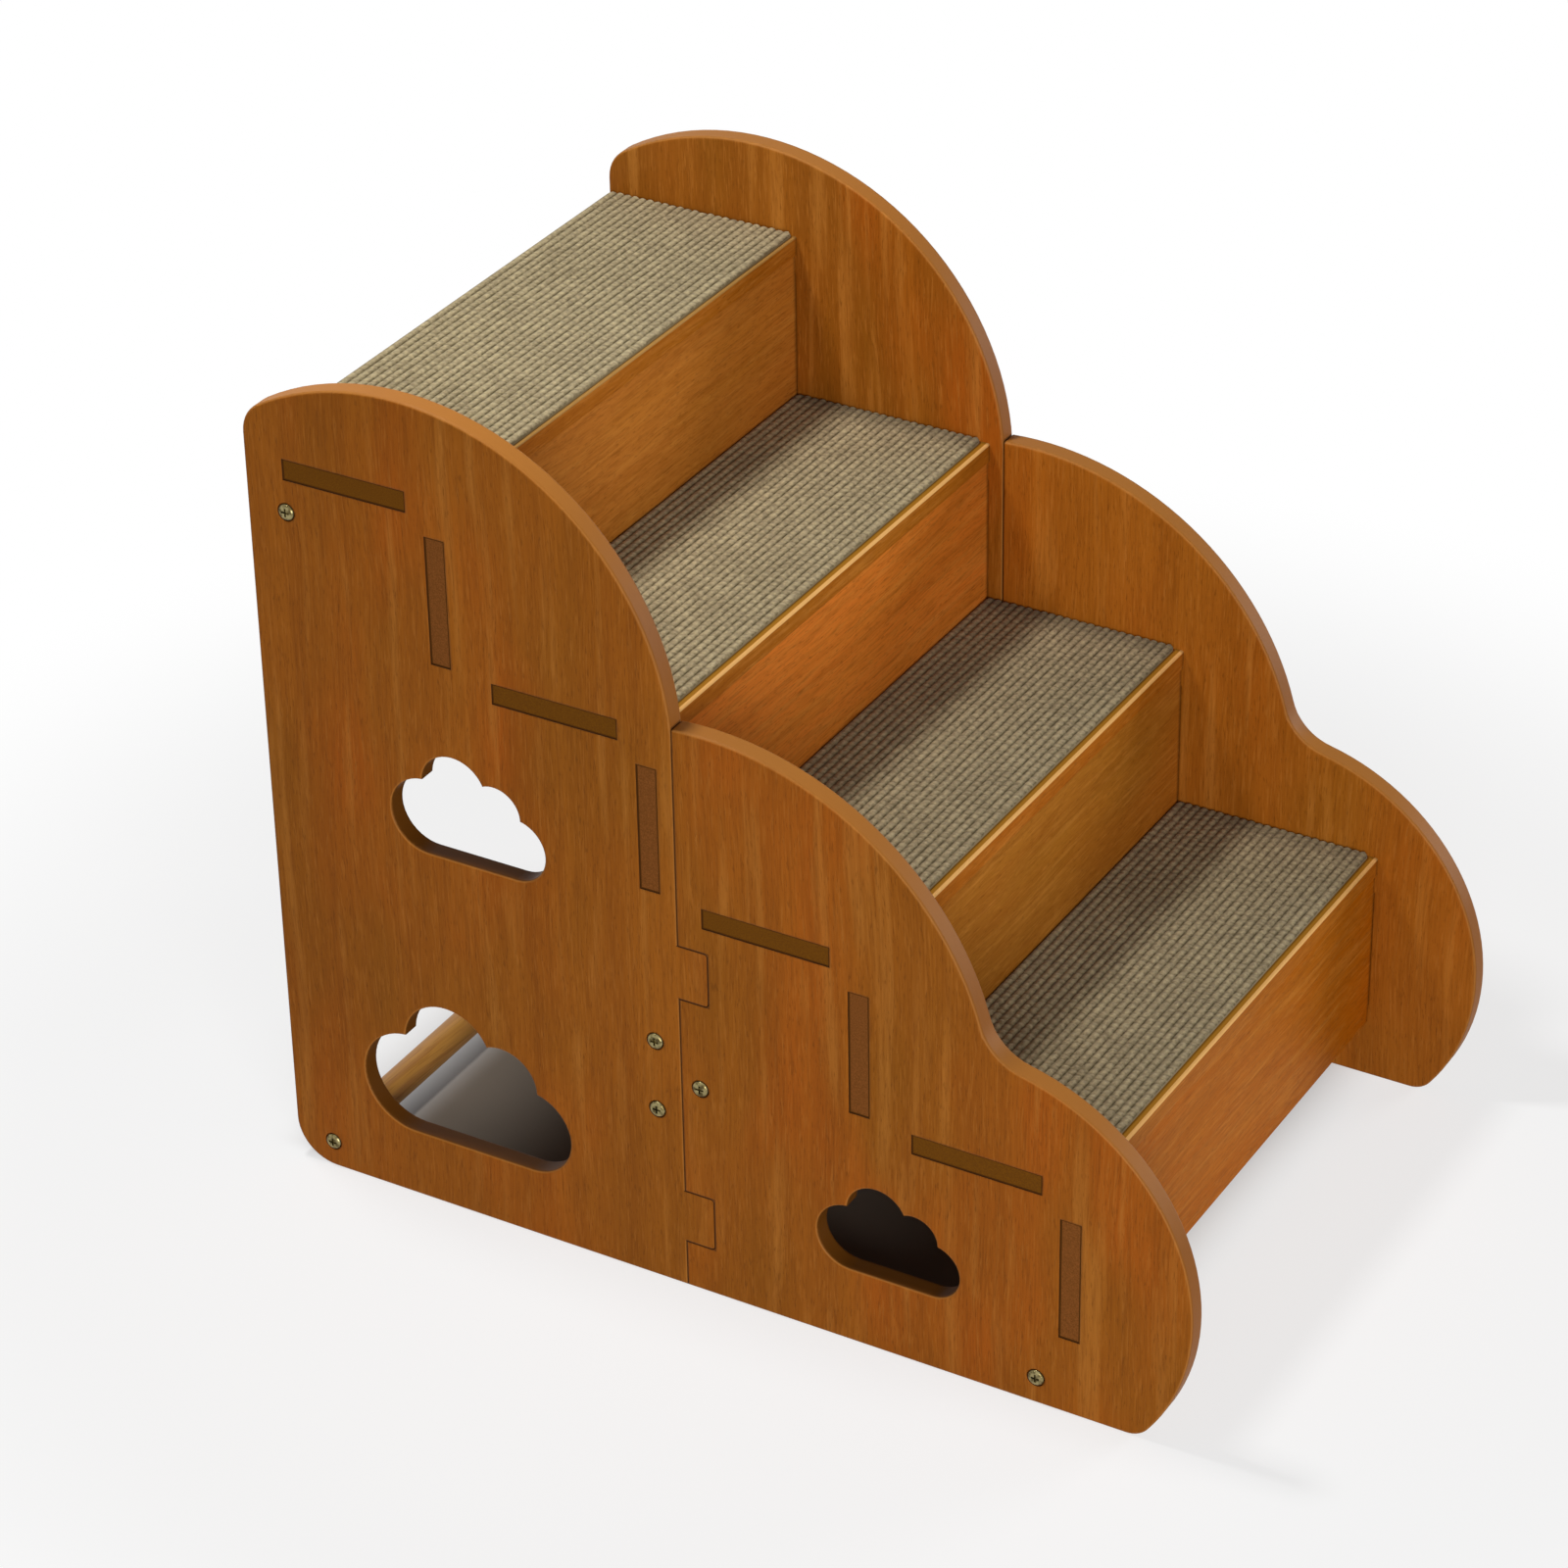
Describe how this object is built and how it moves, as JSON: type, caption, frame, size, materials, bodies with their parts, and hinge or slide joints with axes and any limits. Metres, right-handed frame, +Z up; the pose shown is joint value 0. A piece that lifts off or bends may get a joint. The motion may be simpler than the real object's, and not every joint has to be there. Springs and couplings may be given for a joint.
{
  "type": "pet stairs",
  "caption": "Free-standing wooden pet stairs with scalloped side walls, slotted treads and risers, ribbed mats and cloud-shaped windows.",
  "frame": {"origin": "centre of the stairs' box, on the floor under them", "axes": "+X towards the low end of the stairs, +Y across them, +Z up"},
  "size_m": [0.7506, 0.5048, 0.671],
  "materials": {
    "side_board": "satin varnish over vertical grain",
    "step_board": "satin varnish, grain across the stairs",
    "crossbar": "satin varnish, grain along the bar",
    "joining_plate": "satin varnish",
    "mat": "ribbed grey-beige textile",
    "screw": "nickel plated, slightly warm"
  },
  "bodies": {
    "root": {"near_rear_side": "side_board", "near_front_side": "side_board", "far_rear_side": "side_board", "far_front_side": "side_board", "tread_1": "step_board", "riser_1": "step_board", "tread_2": "step_board", "riser_2": "step_board", "tread_3": "step_board", "riser_3": "step_board", "tread_4": "step_board", "riser_4": "step_board", "rear_top_bar": "crossbar", "rear_bottom_bar": "crossbar", "front_bottom_bar": "crossbar", "near_joining_plate": "joining_plate", "far_joining_plate": "joining_plate", "mat_1": "mat", "mat_2": "mat", "mat_3": "mat", "mat_4": "mat", "near_plate_screws": "screw", "far_plate_screws": "screw", "rear_top_bar_screws": "screw", "rear_bottom_bar_screws": "screw", "front_bottom_bar_screws": "screw"}
  },
  "joints": []
}
